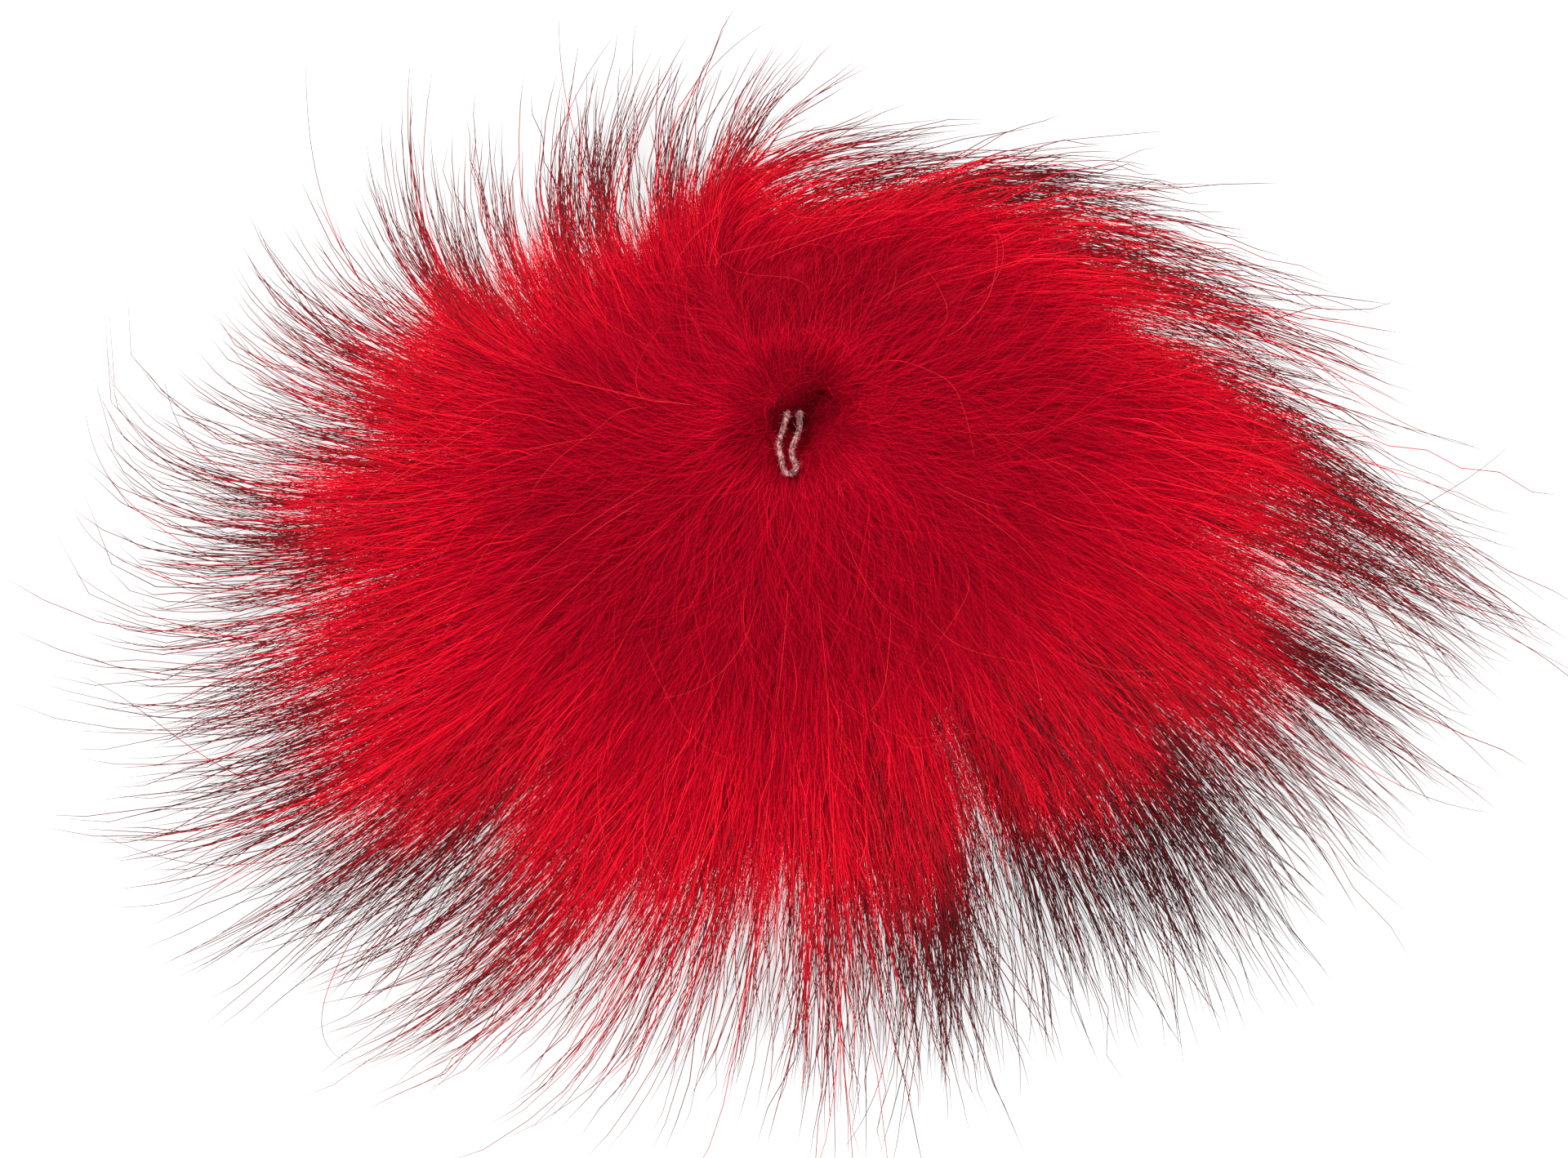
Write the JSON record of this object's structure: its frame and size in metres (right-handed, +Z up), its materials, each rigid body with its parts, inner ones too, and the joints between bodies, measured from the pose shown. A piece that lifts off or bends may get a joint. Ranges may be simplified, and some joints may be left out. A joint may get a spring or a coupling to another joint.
{
  "type": "fur pompom",
  "caption": "Long-haired dyed fur pompom: a stuffed, gathered hide pouch with spreading locks of guard hair and a small yarn loop to hang it by.",
  "frame": {"origin": "on the floor, in the middle of the fur's spread", "axes": "+X to the right along the widest spread, +Y away, +Z up out of the gathered mouth"},
  "size_m": [0.184, 0.14, 0.0563],
  "materials": {
    "hide": "matte suede",
    "stuffing": "loose fibre",
    "sewing_thread": "waxed thread",
    "loop_yarn": "fuzzy yarn",
    "underfur": "dense wool",
    "guard_hair": "glossy hair, brown at the tips",
    "guard_hair_dark_tip": "glossy hair, dark brown outer half"
  },
  "bodies": {
    "pompom": {"hide_pouch": "hide", "stuffing_ball": "stuffing", "gathering_thread": "sewing_thread", "gathering_knot": "sewing_thread", "underfur": "underfur", "guard_hair_crest": "guard_hair", "guard_hair_upper_left": "guard_hair", "guard_hair_left_fan": "guard_hair", "guard_hair_left": "guard_hair", "guard_hair_left_lower": "guard_hair", "guard_hair_lower_left": "guard_hair", "guard_hair_bottom_left": "guard_hair", "guard_hair_bottom": "guard_hair", "guard_hair_bottom_dark": "guard_hair_dark_tip", "guard_hair_lower_right_dark": "guard_hair_dark_tip", "guard_hair_lower_right": "guard_hair", "guard_hair_right": "guard_hair", "guard_hair_upper_right": "guard_hair"},
    "loop_stem": {"loop_knot": "loop_yarn", "loop_legs": "loop_yarn"},
    "loop": {"hanging_loop": "loop_yarn"}
  },
  "joints": [
    {"name": "loop_turn", "type": "hinge", "parent": "pompom", "child": "loop_stem", "pos_m": [-0.0024, 0.0204, 0.0432], "axis": [0, 0, 1], "range_deg": [-90, 90]},
    {"name": "loop_swing", "type": "hinge", "parent": "loop_stem", "child": "loop", "pos_m": [-0.0024, 0.0204, 0.05], "axis": [-1, 0, 0], "range_deg": [0, 105]}
  ]
}
